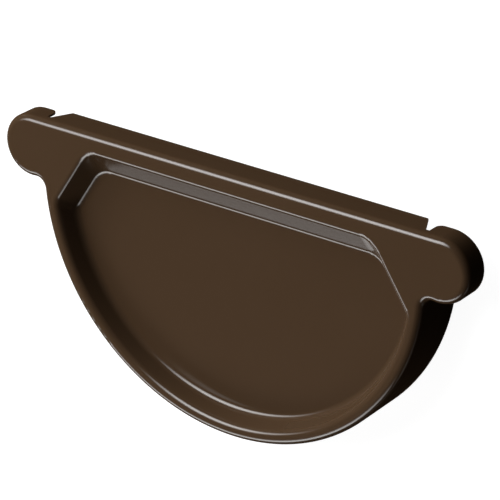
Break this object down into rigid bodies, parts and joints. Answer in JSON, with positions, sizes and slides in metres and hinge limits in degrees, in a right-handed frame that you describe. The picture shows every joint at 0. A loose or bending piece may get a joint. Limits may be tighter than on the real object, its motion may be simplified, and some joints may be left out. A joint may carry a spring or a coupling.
{
  "type": "gutter stop end",
  "caption": "Half-round gutter stop end pressed from brown coated steel, with a recessed face, rounded ears, a notched top flange and a deep skirt.",
  "frame": {"origin": "middle of the box round the part, at the level of the skirt's rim, on which it lies", "axes": "+X along the flat top edge, +Y towards that edge, +Z out of the pressed face"},
  "size_m": [0.1554, 0.0798, 0.0172],
  "materials": {
    "coated_steel": "semi-gloss brown coating on steel sheet"
  },
  "bodies": {
    "root": {"stop_end": "coated_steel"}
  },
  "joints": []
}
